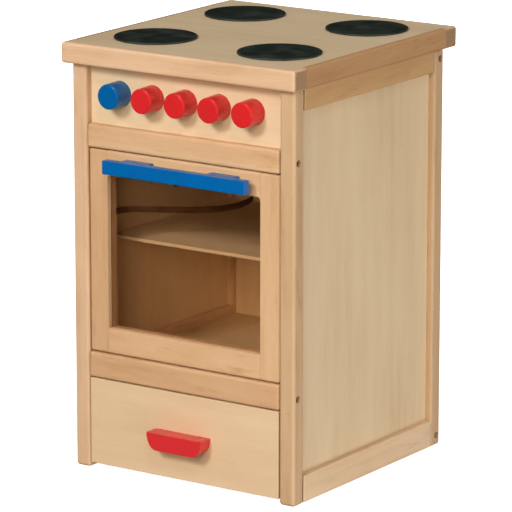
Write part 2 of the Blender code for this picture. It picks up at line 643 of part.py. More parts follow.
def make_catch(plastic, steel, cabinet, door):
    """A magnetic catch behind the upper front rail, and its plate on the door, which it also stops."""
    plate_top = DOOR_TOP - DOOR_ROUND
    plate_low = (-CATCH_PLATE_WIDTH / 2, DOOR_BACK + GAP, plate_top - CATCH_PLATE_HIGH)
    plate_high = (CATCH_PLATE_WIDTH / 2, DOOR_BACK + GAP + CATCH_PLATE_THICK, plate_top)
    cuboid("catch_plate", plate_low, plate_high, steel, door)
    rail_back = LEG_FRONT + RAIL_THICK
    catch_bottom = DOOR_TOP - CATCH_OVERLAP
    low = (-CATCH_WIDTH / 2, rail_back + GAP, catch_bottom)
    back = DOOR_BACK + CATCH_BEHIND_DOOR + CATCH_THICK
    high = (CATCH_WIDTH / 2, back, catch_bottom + CATCH_HIGH)
    catch = cuboid("door_catch", low, high, plastic, cabinet)
    step_low = (low[0] - OVERCUT, low[1] - OVERCUT, low[2] - OVERCUT)
    step_high = (high[0] + OVERCUT, DOOR_BACK + CATCH_BEHIND_DOOR, UPPER_RAIL_BOTTOM)
    groove(catch, step_low, step_high)


def smooth_route(points, steps):
    """A Catmull-Rom curve through the points."""
    padded = [2 * points[0] - points[1], *points, 2 * points[-1] - points[-2]]
    for a, b, c, d in zip(padded, padded[1:], padded[2:], padded[3:]):
        slope = c - a
        bend = 2 * a - 5 * b + 4 * c - d
        twist = 3 * b - a - 3 * c + d
        for step in range(steps):
            t = step / steps
            yield b + (slope * t + bend * t**2 + twist * t**3) / 2
    yield points[-1]


def make_strap(leather, body):
    """The leather strap on edge, in a loop behind the window."""
    height = DOOR_TOP - STRAP_BELOW_DOOR_TOP
    corner = Vector((-PANEL_INSIDE, DOOR_BACK, height))
    points = [corner + Vector((x, y, 0)) * MM for x, y in STRAP_ROUTE]
    route = list(smooth_route(points, STRAP_STEPS))
    bm = bmesh.new()
    half = Vector((0, 0, STRAP_WIDTH / 2))
    sections = []
    for index, point in enumerate(route):
        along = route[min(index + 1, len(route) - 1)] - route[max(index - 1, 0)]
        across = Vector((-along.y, along.x, 0)).normalized() * STRAP_THICK / 2
        centre = point - corner
        corners = (-across - half, across - half, across + half, half - across)
        sections.append([bm.verts.new(centre + offset) for offset in corners])
    for near, far in zip(sections, sections[1:]):
        for index in range(4):
            after = (index + 1) % 4
            bm.faces.new((near[index], near[after], far[after], far[index]))
    bm.faces.new(sections[0])
    bm.faces.new(sections[-1])
    add_object("door_strap", bm, corner, leather, body)


def make_drawer_box(wood, ply, body):
    """The front, two sides and a back, with a bottom that slides into their grooves."""
    front_low = (-DOOR_SIDE, DRAWER_FRONT, DRAWER_ABOVE_FLOOR)
    front_high = (DOOR_SIDE, DRAWER_BOX_FRONT, LOWER_RAIL_BOTTOM - DOOR_GAP)
    front = cuboid("drawer_front", front_low, front_high, ply, body, "all", DRAWER_FRONT_ROUND)
    side_top = DRAWER_SIDE_BOTTOM + DRAWER_SIDE_HIGH
    bottom_z = DRAWER_SIDE_BOTTOM + DRAWER_BOTTOM_LIFT
    inner = DRAWER_SIDE - DRAWER_SIDE_THICK
    tongue = DRAWER_GROOVE_DEEP
    bottom_low = (-inner - tongue, DRAWER_BOX_FRONT - tongue, bottom_z)
    bottom_back = DRAWER_BOX_BACK - DRAWER_SIDE_THICK + tongue
    bottom_high = (inner + tongue, bottom_back, bottom_z + DRAWER_BOTTOM_THICK)
    cuboid("drawer_bottom", bottom_low, bottom_high, ply, body)
    groove(front, bottom_low, bottom_high)
    for name, side in both_sides():
        x = spread(inner, DRAWER_SIDE, side)
        low = (x[0], DRAWER_BOX_FRONT + GAP, DRAWER_SIDE_BOTTOM)
        board = cuboid(f"drawer_side_{name}", low, (x[1], DRAWER_BOX_BACK, side_top), wood, body)
        groove(board, bottom_low, bottom_high)
    low = (GAP - inner, DRAWER_BOX_BACK - DRAWER_SIDE_THICK, DRAWER_SIDE_BOTTOM)
    back = cuboid("drawer_back", low, (inner - GAP, DRAWER_BOX_BACK, side_top), wood, body)
    groove(back, bottom_low, bottom_high)


def make_drawer_pull(red, body):
    """The drawer's handle: a block with curved lower corners and a finger hold behind its lip."""
    low_z = PULL_TOP_ABOVE_FLOOR - PULL_HIGH
    corner = (PULL_TOP_WIDTH - PULL_BOTTOM_WIDTH) / 2
    flat = PULL_BOTTOM_WIDTH / 2
    right = arc((flat, PULL_TOP_ABOVE_FLOOR), corner, PULL_HIGH, 0, -90, CORNER_STEPS)
    left = arc((-flat, PULL_TOP_ABOVE_FLOOR), corner, PULL_HIGH, -90, -180, CORNER_STEPS)
    back = DRAWER_FRONT - GAP
    front = back - PULL_DEEP
    pull = plate("drawer_handle", [*right, *left], front, back, red, body)
    wide = PULL_TOP_WIDTH / 2 + OVERCUT
    behind_lip = front + PULL_LIP
    step_top = low_z + PULL_UNDERSIDE_RISE
    groove(pull, (-wide, behind_lip, low_z - OVERCUT), (wide, back + OVERCUT, step_top))
    finger = PULL_FINGER_WIDTH / 2
    finger_back = back - PULL_BACK_WALL
    groove(pull, (-finger, behind_lip, low_z - OVERCUT), (finger, finger_back, low_z + PULL_FINGER_RISE))


def make_runners(wood, body):
    """Two battens on the bottom side rails, which the drawer's sides slide on."""
    top = DRAWER_SIDE_BOTTOM - GAP
    for name, side in both_sides():
        x = spread(DRAWER_SIDE - RUNNER_UNDER_DRAWER, LEG_SIDE - RAIL_THICK - GAP, side)
        low = (x[0], LEG_FRONT + LEG + GAP, top - RUNNER_HIGH)
        high = (x[1], LEG_BACK - LEG - GAP, top)
        cuboid(f"drawer_runner_{name}", low, high, wood, body)


def make_kitchen():
    clear_scene()
    paint = make_materials()
    wood = paint["solid_wood"]
    ply = paint["plywood"]
    cabinet = empty("cabinet", (0, 0, 0))
    door = empty("door_hinge", HINGE_AXIS, cabinet)
    drawer = empty("drawer_slide", (0, DRAWER_FRONT, DRAWER_SIDE_BOTTOM), cabinet)
    make_worktop(wood, ply, cabinet)
    make_hobs(paint["hob_black"], cabinet)
    make_legs(wood, cabinet)
    for name, side in both_sides():
        make_side(name, side, wood, ply, cabinet)
    make_back(wood, ply, cabinet)
    make_front(wood, ply, cabinet)
    make_oven(wood, ply, cabinet)
    make_runners(wood, cabinet)
    make_hinge_pins(paint["steel"], cabinet)
    make_knobs(paint["blue_paint"], paint["red_paint"], wood, cabinet)
    make_door_frame(wood, paint["smoked_acrylic"], door)
    make_door_handle(paint["blue_paint"], door)
    make_catch(paint["catch_plastic"], paint["steel"], cabinet, door)
    make_strap(paint["leather"], cabinet)
    make_drawer_box(wood, ply, drawer)
    make_drawer_pull(paint["red_paint"], drawer)


make_kitchen()
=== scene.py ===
"""Looks of the wooden toy kitchen: materials, screws, strap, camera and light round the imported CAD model.

Everything is in metres in the CAD's frame: +Z up, the front faces -Y, +X to the right.
"""

import math
import random

import bmesh
import bpy
from mathutils import Matrix, Vector


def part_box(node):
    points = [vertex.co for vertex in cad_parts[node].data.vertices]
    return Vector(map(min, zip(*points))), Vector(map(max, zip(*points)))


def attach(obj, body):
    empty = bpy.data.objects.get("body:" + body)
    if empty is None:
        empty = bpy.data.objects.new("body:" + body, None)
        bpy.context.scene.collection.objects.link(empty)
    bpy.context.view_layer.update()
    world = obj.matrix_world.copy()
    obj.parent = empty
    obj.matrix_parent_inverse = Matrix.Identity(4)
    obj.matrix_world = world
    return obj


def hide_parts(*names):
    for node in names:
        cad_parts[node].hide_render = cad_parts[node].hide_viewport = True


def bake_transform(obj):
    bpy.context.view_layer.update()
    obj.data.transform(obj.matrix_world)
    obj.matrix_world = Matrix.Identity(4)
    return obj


MM = 0.001
SIDES = (("left", -1), ("right", 1))
KNOBS = range(1, 6)
SMOOTH_BELOW = math.radians(35)

# Colours are linear. A board has a middle tone; its light and dark tones are shares of it.
LIGHT_SHARE = (1.08, 1.12, 1.17)
DARK_SHARE = (0.79, 0.70, 0.63)
PALE = (0.690, 0.452, 0.280)
WARM = (0.660, 0.415, 0.230)
DEEP = (0.610, 0.366, 0.198)
FAWN = (0.575, 0.375, 0.214)
TAN = (0.570, 0.335, 0.155)
BROWN = (0.475, 0.262, 0.122)
CREAM = (0.750, 0.520, 0.325)
BIRCH = (0.700, 0.522, 0.322)
PALE_BIRCH = (0.820, 0.625, 0.400)
PANEL_BIRCH = (0.725, 0.540, 0.340)
DRAWER_BIRCH = (0.705, 0.498, 0.308)
TOP_BIRCH = (0.625, 0.470, 0.288)
END_GRAIN = (0.275, 0.165, 0.080)
PLY_LINE = (0.32, 0.18, 0.085)
FLECK = (0.34, 0.17, 0.075)
BLUE = (0.0, 0.128, 0.420)
KNOB_BLUE = (0.0, 0.112, 0.350)
RED = (0.66, 0.020, 0.024)
HANDLE_RED = (0.69, 0.031, 0.036)
HOB = (0.0150, 0.0200, 0.0160)
HOB_SCRATCH = (0.10, 0.12, 0.11)
# Painted highlight colour for the hobs' edges.
HOB_EDGE_HIGHLIGHT = (0.085, 0.100, 0.092)
PANE_TINT = (0.985, 0.925, 0.862)
PANE_SMEAR = (0.975, 0.915, 0.850)
ZINC = (0.62, 0.61, 0.58)
BRONZE = (0.20, 0.13, 0.07)
LEATHER_LIGHT = (0.125, 0.050, 0.019)
LEATHER_DARK = (0.078, 0.030, 0.011)
LEATHER_CREASE = (0.03, 0.012, 0.005)
LEATHER_CUT = (0.24, 0.125, 0.06)
CATCH_BROWN = (0.085, 0.038, 0.018)
WARM_LIGHT = (1.0, 0.90, 0.75)
WHITE_LIGHT = (1.0, 1.0, 1.0)

# Camera, from the object's middle: how far round to the right, how far up, how far away.
CAMERA_AZIMUTH = math.radians(34.26)
CAMERA_ELEVATION = math.radians(13.61)
CAMERA_DISTANCE = 5.659
CAMERA_TARGET_BEHIND_TOP = 0.217
CAMERA_TARGET_HEIGHT = 0.310
CAMERA_SHIFT_RIGHT = -0.01086
CAMERA_SHIFT_UP = -0.0156
CAMERA_LENS = 276.6
SENSOR = 36.0

# Lights: name, azimuth from the front to the right, elevation, distance, size, power, colour, and
# whether gloss shows it.
LIGHTS = (
    ("key", -3, 32, 6.0, 1.5, 192.0, WHITE_LIGHT, True),
    ("fill", 20, 17, 5.0, 2.0, 100.0, WARM_LIGHT, False),
    ("window", 37, 46, 4.0, 0.32, 15.0, WHITE_LIGHT, True),
    ("side", 90, 5, 4.0, 2.2, 50.0, WHITE_LIGHT, True),
    ("bounce", 72, -25, 1.7, 1.2, 8.0, WHITE_LIGHT, False),
    ("overhead", 60, 80, 3.0, 1.4, 14.0, WHITE_LIGHT, True),
    ("back", 205, 38, 3.2, 2.0, 16.0, WHITE_LIGHT, False),
    ("left", -105, 4, 4.0, 2.2, 45.0, WHITE_LIGHT, False),
    ("rear", 195, 4, 4.0, 2.2, 45.0, WHITE_LIGHT, False),
)
LIGHTS_AIM = Vector((0, 0, 0.3))
WORLD_ABOVE = 0.05
WORLD_BELOW = 0.20
FLOOR_GLOW = 0.95
FLOOR_HALF = 60.0
FLOOR_CELLS = 6

# Screws and washers.
LEG_SCREW_RADIUS = 4.2 * MM
LEG_SCREW_HIGH = 2.4 * MM
LEG_SCREW_DEEP = 8.6 * MM  # its seat below the leg's outer face
LEG_SCREW_FROM_FACE = 10 * MM  # from the leg's front or back face to the screw's axis
HANDLE_SCREW_RADIUS = 3.5 * MM
HANDLE_SCREW_HIGH = 2.2 * MM
DRAWER_SCREW_OUT = 0.38  # share of the drawer handle's length, from its middle
DRAWER_SCREW_BELOW_TOP = 7 * MM
STRAP_SCREW_RADIUS = 3.0 * MM
STRAP_SCREW_HIGH = 1.9 * MM
WASHER_OUTER = 4.2 * MM
WASHER_INNER = 1.2 * MM
WASHER_THICK = 0.8 * MM

# The strap's route seen from above, in millimetres: (to the right of the left side panel's inner face,
# behind the door's inner face), from the screw on the door to the screw on the side panel.
STRAP_ROUTE = (
    (16, 1.9), (24, 2.1), (31, 4.5), (34.5, 12), (37, 24), (46, 37), (71, 51), (98, 67), (125, 83),
    (146, 105), (156, 130), (157, 152), (152, 176), (139, 202), (112, 228), (74, 243), (38, 243),
    (13, 232), (4, 221), (2.1, 212), (1.9, 203),
)
STRAP_STEPS = 8
STRAP_WIDTH = 9 * MM
STRAP_THICK = 3 * MM
STRAP_SHY = 0.05 * MM  # how far each face stays inside the CAD strap's
STRAP_RIM = 0.7 * MM
STRAP_RIM_STEPS = 3


class Tree:
    """The nodes of one material. Each method adds a node and returns its output."""

    def __init__(self, name):
        self.material = bpy.data.materials.new(name)
        self.material.use_nodes = True
        self.nodes = self.material.node_tree.nodes
        self.links = self.material.node_tree.links
        self.shader = self.nodes["Principled BSDF"]

    def feed(self, socket, value):
        if isinstance(value, bpy.types.NodeSocket):
            self.links.new(value, socket)
        elif isinstance(value, tuple) and len(value) == 3 and len(socket.default_value) == 4:
            socket.default_value = (*value, 1)
        else:
            socket.default_value = value

    def add(self, kind, inputs, **settings):
        made = self.nodes.new("ShaderNode" + kind)
        for key, value in settings.items():
            setattr(made, key, value)
        for key, value in inputs.items():
            self.feed(made.inputs[key], value)
        return made

    def coordinates(self, kind="Object"):
        return self.add("TexCoord", {}).outputs[kind]

    def placed(self, vector, location=(0, 0, 0), rotation=(0, 0, 0), scale=(1, 1, 1)):
        inputs = {"Vector": vector, "Location": location, "Rotation": rotation, "Scale": scale}
        return self.add("Mapping", inputs).outputs["Vector"]

    def noise(self, vector, scale, detail=2.0, roughness=0.5, output="Fac"):
        inputs = {"Vector": vector, "Scale": scale, "Detail": detail, "Roughness": roughness}
        return self.add("TexNoise", inputs).outputs[output]

    def math(self, operation, first, second=0.0, third=0.0):
        return self.add("Math", {0: first, 1: second, 2: third}, operation=operation).outputs[0]

    def vector(self, operation, first, second=(0, 0, 0), output="Vector"):
        return self.add("VectorMath", {0: first, 1: second}, operation=operation).outputs[output]

    def fit(self, value, low, high, to_low=0.0, to_high=1.0):
        """Maps a range to another, smoothly and without going past its ends."""
        inputs = {"Value": value, "From Min": low, "From Max": high, "To Min": to_low, "To Max": to_high}
        return self.add("MapRange", inputs, interpolation_type="SMOOTHSTEP").outputs["Result"]

    def mix(self, share, first, second):
        made = self.nodes.new("ShaderNodeMix")
        made.data_type = "RGBA"
        self.feed(made.inputs[0], share)
        self.feed(made.inputs[6], first)
        self.feed(made.inputs[7], second)
        return made.outputs[2]

    def ramp(self, value, stops):
        made = self.add("ValToRGB", {"Fac": value})
        stops_made = made.color_ramp.elements
        while len(stops_made) < len(stops):
            stops_made.new(0.5)
        for stop, (place, colour) in zip(stops_made, stops):
            stop.position = place
            stop.color = (*colour, 1)
        return made.outputs["Color"]

    def bump(self, height, distance, strength):
        inputs = {"Height": height, "Distance": distance, "Strength": strength}
        return self.add("Bump", inputs).outputs["Normal"]

    def facing(self, axis):
        """1 where a surface faces along an axis, 0 where it lies along it."""
        normal = self.coordinates("Normal")
        direction = tuple(float(index == axis) for index in range(3))
        return self.math("ABSOLUTE", self.vector("DOT_PRODUCT", normal, direction, "Value"))

    def edges(self, radius):
        """1 on outer edges of about this radius, 0 on flat faces."""
        rounded = self.add("Bevel", {"Radius": radius}, samples=4).outputs["Normal"]
        normal = self.add("NewGeometry", {}).outputs["Normal"]
        same = self.vector("DOT_PRODUCT", rounded, normal, "Value")
        return self.fit(same, 0.995, 0.93)

    def finish(self, **inputs):
        for key, value in inputs.items():
            self.feed(self.shader.inputs[key.replace("_", " ")], value)
        return self.material


def toned(middle, factor):
    """A board's light, middle and dark tone."""
    return [
        tuple(channel * share * factor for channel, share in zip(middle, shares))
        for shares in (LIGHT_SHARE, (1.0, 1.0, 1.0), DARK_SHARE)
    ]


def grain_space(tree, along, rng):
    """Object coordinates turned so that the grain runs along X, moved and slightly tilted for each piece."""
    turns = {0: (0, 0, 0), 1: (0, 0, -math.pi / 2), 2: (0, math.pi / 2, 0)}
    tilt = tuple(math.radians(rng.uniform(-0.9, 0.9)) for _ in range(3))
    place = tuple(rng.uniform(-2, 2) for _ in range(3))
    turned = tree.placed(tree.coordinates(), rotation=turns[along])
    return tree.placed(turned, location=place, rotation=tilt)


def wood_fibres(tree, space):
    """Fine streaks along the grain, and short dark flecks."""
    streaks = tree.noise(tree.placed(space, scale=(22, 700, 700)), 1.0, 4.0, 0.65)
    flecks = tree.noise(tree.placed(space, scale=(170, 1500, 1500)), 1.0, 1.0)
    return streaks, tree.fit(flecks, 0.66, 0.78)


def solid_wood(name, along, tone, flames, seed):
    """Maple: soft growth rings, streaks, flecks, darker flames, end grain on the ends, and a painted
    highlight along the outer edges.
    """
    rng = random.Random(seed)
    tree = Tree(name)
    light, middle, dark = toned(tone, rng.uniform(0.98, 1.02))
    space = grain_space(tree, along, rng)
    sway = tree.noise(tree.placed(space, scale=(3.5, 16, 16)), 1.0, 2.0, output="Color")
    centred = tree.vector("SUBTRACT", sway, (0.5, 0.5, 0.5))
    bent = tree.vector("ADD", space, tree.vector("MULTIPLY", centred, (0.0, 0.030, 0.030)))
    growth = {"Vector": bent, "Scale": rng.uniform(16, 30), "Distortion": 2.4, "Detail": 2.0}
    growth["Detail Scale"] = 1.5
    rings = tree.add("TexWave", growth, wave_type="RINGS", rings_direction="X").outputs["Fac"]
    streaks, flecks = wood_fibres(tree, space)
    broad = tree.noise(tree.placed(bent, scale=(2.6, 60, 60)), 1.0, 2.0)
    patches = tree.noise(tree.placed(bent, scale=(6, 20, 20)), 1.0, 3.0)
    figure = tree.math("MULTIPLY", tree.fit(rings, 0.1, 0.95), 0.12)
    figure = tree.math("MULTIPLY_ADD", tree.fit(broad, 0.32, 0.72), 0.24, figure)
    figure = tree.math("MULTIPLY_ADD", tree.fit(patches, 0.30, 0.75), 0.36, figure)
    figure = tree.math("MULTIPLY_ADD", tree.fit(streaks, 0.30, 0.75), 0.22, figure)
    colour = tree.ramp(figure, ((0.10, light), (0.48, middle), (1.0, dark)))
    flame = tree.noise(tree.placed(bent, scale=(11, 62, 62)), 1.0, 4.0, 0.62)
    colour = tree.mix(tree.fit(flame, 0.58, 0.74, 0.0, flames), colour, dark)
    colour = tree.mix(tree.math("MULTIPLY", flecks, 0.40), colour, FLECK)
    pores = tree.fit(tree.noise(tree.coordinates(), 500.0, 3.0, 0.6), 0.35, 0.7, 0.0, 0.5)
    end_colour = tree.mix(pores, END_GRAIN, dark)
    end = tree.fit(tree.facing(along), 0.75, 0.95)
    colour = tree.mix(tree.math("MULTIPLY", end, 0.9), colour, end_colour)
    # Painted highlight: the outer edges turn towards the wood's light tone.
    colour = tree.mix(tree.math("MULTIPLY", tree.edges(1.2 * MM), 0.22), colour, light)
    height = tree.math("MULTIPLY_ADD", flecks, -0.6, streaks)
    rough = tree.fit(streaks, 0.25, 0.8, 0.40, 0.56)
    return tree.finish(
        Base_Color=colour,
        Roughness=tree.math("MULTIPLY_ADD", end, 0.18, rough),
        Normal=tree.bump(height, 0.05 * MM, 0.7),
        Specular_IOR_Level=0.35,
    )


def plywood(name, along, thick, tone, seed):
    """Birch plywood: a calm veneer with wide soft figure on the faces, and plies on the edges."""
    rng = random.Random(seed)
    tree = Tree(name)
    light, middle, dark = toned(tone, 1.0)
    space = grain_space(tree, along, rng)
    clouds = tree.noise(tree.placed(space, scale=(3.2, 9, 9)), 1.0, 3.0, 0.55)
    waves = tree.noise(tree.placed(space, scale=(4.5, 55, 55)), 1.0, 3.0, 0.6)
    streaks, flecks = wood_fibres(tree, space)
    figure = tree.math("MULTIPLY", tree.fit(clouds, 0.28, 0.75), 0.40)
    figure = tree.math("MULTIPLY_ADD", tree.fit(waves, 0.30, 0.75), 0.22, figure)
    figure = tree.math("MULTIPLY_ADD", tree.fit(streaks, 0.30, 0.75), 0.18, figure)
    colour = tree.ramp(figure, ((0.10, light), (0.50, middle), (1.0, dark)))
    colour = tree.mix(tree.math("MULTIPLY", flecks, 0.28), colour, FLECK)
    across = tuple(float(axis == thick) for axis in range(3))
    depth = tree.vector("DOT_PRODUCT", tree.coordinates(), across, "Value")
    layers = tree.math("SINE", tree.math("MULTIPLY", depth, math.tau / (2.2 * MM)))
    ply = tree.mix(tree.fit(layers, -0.25, 0.25, 0.0, 0.55), light, PLY_LINE)
    on_edge = tree.fit(tree.facing(thick), 0.45, 0.25)
    colour = tree.mix(on_edge, colour, ply)
    height = tree.math("MULTIPLY_ADD", flecks, -0.5, streaks)
    return tree.finish(
        Base_Color=colour,
        Roughness=tree.fit(streaks, 0.25, 0.8, 0.44, 0.60),
        Normal=tree.bump(height, 0.04 * MM, 0.6),
        Specular_IOR_Level=0.35,
    )


def paint(name, colour, along, seed):
    """Satin paint on wood: the grain shows faintly through it, and its edges are a little rubbed."""
    rng = random.Random(seed)
    tree = Tree(name)
    space = grain_space(tree, along, rng)
    grain = tree.noise(tree.placed(space, scale=(35, 420, 420)), 1.0, 3.0, 0.6)
    peel = tree.noise(space, 620.0, 2.0)
    clouds = tree.noise(space, 34.0, 3.0)
    shade = tuple(channel * 0.82 for channel in colour)
    rubbed = tuple(channel * 0.75 + 0.18 for channel in colour)
    mixed = tree.mix(tree.fit(clouds, 0.30, 0.72, 0.0, 0.6), colour, shade)
    scuffs = tree.fit(tree.noise(tree.placed(space, scale=(60, 300, 300)), 1.0, 4.0, 0.7), 0.60, 0.72)
    wear = tree.math("MULTIPLY", tree.edges(0.7 * MM), tree.math("MULTIPLY_ADD", scuffs, 0.35, 0.05))
    mixed = tree.mix(wear, mixed, rubbed)
    height = tree.math("MULTIPLY_ADD", grain, 0.7, peel)
    return tree.finish(
        Base_Color=mixed,
        Roughness=tree.fit(clouds, 0.3, 0.75, 0.19, 0.29),
        Normal=tree.bump(height, 0.035 * MM, 0.5),
        Specular_IOR_Level=0.40,
    )


def hob_paint(name, seed):
    """Dark green-black paint with a fine tooth, faint clouds, a few play scratches, and a painted highlight
    on its edges.
    """
    rng = random.Random(seed)
    tree = Tree(name)
    place = tuple(rng.uniform(-1, 1) for _ in range(3))
    space = tree.placed(tree.coordinates(), location=place, rotation=(0, 0, rng.uniform(0, math.pi)))
    tooth = tree.noise(space, 1500.0, 2.0)
    clouds = tree.noise(space, 30.0, 3.0, 0.6)
    scratch = tree.noise(tree.placed(space, scale=(14, 900, 900)), 1.0, 2.0, 0.6)
    scratches = tree.fit(scratch, 0.70, 0.76)
    lighter = tuple(channel * 2.1 + 0.004 for channel in HOB)
    colour = tree.mix(tree.fit(clouds, 0.35, 0.75, 0.0, 0.75), HOB, lighter)
    colour = tree.mix(tree.math("MULTIPLY", scratches, 0.14), colour, HOB_SCRATCH)
    # Painted highlight: the hob's edges turn lighter, as if they caught the light.
    colour = tree.mix(tree.math("MULTIPLY", tree.edges(0.6 * MM), 0.30), colour, HOB_EDGE_HIGHLIGHT)
    return tree.finish(
        Base_Color=colour,
        Roughness=tree.fit(clouds, 0.3, 0.75, 0.36, 0.52),
        Normal=tree.bump(tree.math("SUBTRACT", tooth, scratches), 0.03 * MM, 0.5),
    )


def smoked_acrylic(name):
    """A clear brown pane: it lets tinted light through and mirrors a little."""
    tree = Tree(name)
    smears = tree.noise(tree.coordinates(), 26.0, 4.0, 0.6)
    tint = tree.mix(tree.fit(smears, 0.35, 0.75), PANE_TINT, PANE_SMEAR)
    through = tree.add("BsdfTransparent", {"Color": tint}).outputs[0]
    mirror_inputs = {"Color": (1.0, 1.0, 1.0), "Roughness": tree.fit(smears, 0.4, 0.8, 0.03, 0.12)}
    mirror = tree.add("BsdfGlossy", mirror_inputs).outputs[0]
    share = tree.add("Fresnel", {"IOR": 1.49}).outputs[0]
    both = tree.add("MixShader", {0: share, 1: through, 2: mirror}).outputs[0]
    tree.links.new(both, tree.nodes["Material Output"].inputs["Surface"])
    tree.nodes.remove(tree.shader)
    return tree.material


def plated_steel(name, colour):
    """Plated steel: soft spangle, fine scratches and a slightly uneven polish."""
    tree = Tree(name)
    space = tree.coordinates()
    spangle = tree.noise(space, 900.0, 3.0, 0.6)
    scratch = tree.noise(tree.placed(space, scale=(400, 5200, 5200)), 1.0, 2.0)
    darker = tuple(channel * 0.7 for channel in colour)
    colour = tree.mix(tree.fit(spangle, 0.3, 0.75), colour, darker)
    return tree.finish(
        Base_Color=colour,
        Metallic=1.0,
        Roughness=tree.fit(spangle, 0.3, 0.75, 0.26, 0.44),
        Normal=tree.bump(scratch, 0.01 * MM, 0.4),
    )


def leather(name):
    """Brown strap leather: pebbled faces with darker creases, and pale cut edges."""
    tree = Tree(name)
    space = tree.coordinates()
    pebbles = {"Vector": space, "Scale": 1100.0}
    distance = tree.add("TexVoronoi", pebbles, feature="DISTANCE_TO_EDGE").outputs["Distance"]
    pebbled = tree.fit(distance, 0.0, 0.16)
    creased = tree.math("SUBTRACT", 1.0, pebbled)
    clouds = tree.noise(space, 60.0, 3.0)
    colour = tree.mix(tree.fit(clouds, 0.3, 0.75), LEATHER_LIGHT, LEATHER_DARK)
    colour = tree.mix(tree.math("MULTIPLY", creased, 0.5), colour, LEATHER_CREASE)
    cut = tree.fit(tree.facing(2), 0.6, 0.85)
    fibre = tree.noise(tree.placed(space, scale=(900, 900, 3500)), 1.0, 3.0)
    fuzz = tree.math("MULTIPLY", cut, tree.fit(fibre, 0.2, 0.8, 0.25, 0.6))
    colour = tree.mix(fuzz, colour, LEATHER_CUT)
    return tree.finish(
        Base_Color=colour,
        Roughness=tree.fit(clouds, 0.3, 0.75, 0.48, 0.66),
        Normal=tree.bump(pebbled, 0.12 * MM, 0.7),
        Sheen_Weight=0.08,
    )


def moulded_plastic(name, colour):
    """Moulded plastic with a fine spark-eroded texture."""
    tree = Tree(name)
    space = tree.coordinates()
    texture = tree.noise(space, 2600.0, 2.0)
    clouds = tree.noise(space, 90.0, 2.0)
    darker = tuple(channel * 0.8 for channel in colour)
    return tree.finish(
        Base_Color=tree.mix(tree.fit(clouds, 0.3, 0.7), colour, darker),
        Roughness=tree.fit(texture, 0.3, 0.7, 0.42, 0.55),
        Normal=tree.bump(texture, 0.03 * MM, 0.6),
    )


def smooth(obj):
    """Smooth shading, with edges kept where faces meet at a sharp angle."""
    obj.data.shade_smooth()
    obj.data.set_sharp_from_angle(angle=SMOOTH_BELOW)


def dress(node, material):
    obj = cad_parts[node]
    obj.data.materials.clear()
    obj.data.materials.append(material)
    smooth(obj)


def dress_wood():
    """Solid wood. Each piece is its own board."""
    inner_rails = ("floor_rail_left", "floor_rail_right", "drawer_runner_left", "drawer_runner_right")
    spindles = tuple(f"knob_spindle_{index}" for index in KNOBS)
    # The axis that the grain runs along, the tone, how strong the flames are, and the nodes.
    boards = (
        (0, PALE, 0.4, ("worktop_front_strip", "worktop_back_strip")),
        (0, WARM, 0.8, ("front_upper_rail", "door_top_rail", "door_bottom_rail")),
        (0, DEEP, 0.5, ("front_lower_rail", "back_top_rail", "back_bottom_rail")),
        (1, BROWN, 0.9, ("worktop_left_strip", "worktop_right_strip")),
        (1, TAN, 0.5, ("side_top_rail_left", "side_top_rail_right")),
        (1, CREAM, 0.5, ("side_bottom_rail_left", "side_bottom_rail_right")),
        (1, CREAM, 0.4, (*inner_rails, "drawer_side_left", "drawer_side_right")),
        (0, CREAM, 0.4, ("drawer_back",)),
        (1, CREAM, 0.4, spindles),
        (2, PALE, 0.6, ("leg_front_left", "leg_back_left")),
        (2, FAWN, 0.5, ("leg_front_right", "leg_back_right")),
        (2, DEEP, 0.5, ("door_stile_left",)),
        (2, WARM, 0.5, ("door_stile_right",)),
    )
    seed = 100
    for along, tone, flames, nodes in boards:
        for node in nodes:
            seed += 1
            dress(node, solid_wood("wood_" + node, along, tone, flames, seed))


def dress_plywood():
    """Plywood, by its grain and by the axis that it is thin along."""
    pieces = (
        ("worktop_panel", 0, 2, TOP_BIRCH),
        ("control_panel", 0, 1, PANEL_BIRCH),
        ("side_panel_left", 2, 0, PALE_BIRCH),
        ("side_panel_right", 2, 0, BIRCH),
        ("back_panel", 2, 1, PALE_BIRCH),
        ("oven_floor", 1, 2, BIRCH),
        ("oven_shelf", 0, 2, PALE_BIRCH),
        ("drawer_front", 0, 1, DRAWER_BIRCH),
        ("drawer_bottom", 0, 2, BIRCH),
    )
    for seed, (node, along, thick, tone) in enumerate(pieces, start=200):
        dress(node, plywood("ply_" + node, along, thick, tone, seed))


def dress_painted():
    """The first knob is blue and the others are red."""
    for index in KNOBS:
        hue, colour = ("blue", KNOB_BLUE) if index == 1 else ("red", RED)
        dress(f"knob_{index}", paint(f"{hue}_knob_{index}", colour, 1, 300 + index))
    dress("drawer_handle", paint("red_drawer_handle", HANDLE_RED, 0, 310))
    for seed, node in enumerate(("bar", "block_left", "block_right"), start=320):
        dress("door_handle_" + node, paint("blue_handle_" + node, BLUE, 0, seed))
    for row in ("front", "back"):
        for side, way in SIDES:
            dress(f"hob_{row}_{side}", hob_paint(f"hob_paint_{row}_{side}", 400 + way + len(row)))


def dress_rest(steel):
    dress("door_window", smoked_acrylic("smoked_acrylic"))
    dress("hinge_pin_left", steel)
    dress("hinge_pin_right", steel)
    dress("catch_plate", steel)
    dress("door_catch", moulded_plastic("brown_plastic", CATCH_BROWN))


def new_piece(name, bm, material, body):
    """A mesh piece that rides on a body. With no body it is left free."""
    bmesh.ops.recalc_face_normals(bm, faces=bm.faces)
    mesh = bpy.data.meshes.new(name)
    bm.to_mesh(mesh)
    bm.free()
    obj = bpy.data.objects.new(name, mesh)
    bpy.context.scene.collection.objects.link(obj)
    mesh.materials.append(material)
    smooth(obj)
    if body:
        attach(obj, body)
    return obj


def cross_recess(angle, long, wide):
    """How far a cross-shaped recess reaches at an angle."""
    across = max(abs(math.cos(angle)), 1e-6)
    up = max(abs(math.sin(angle)), 1e-6)
    return max(min(long / across, wide / up), min(wide / across, long / up))


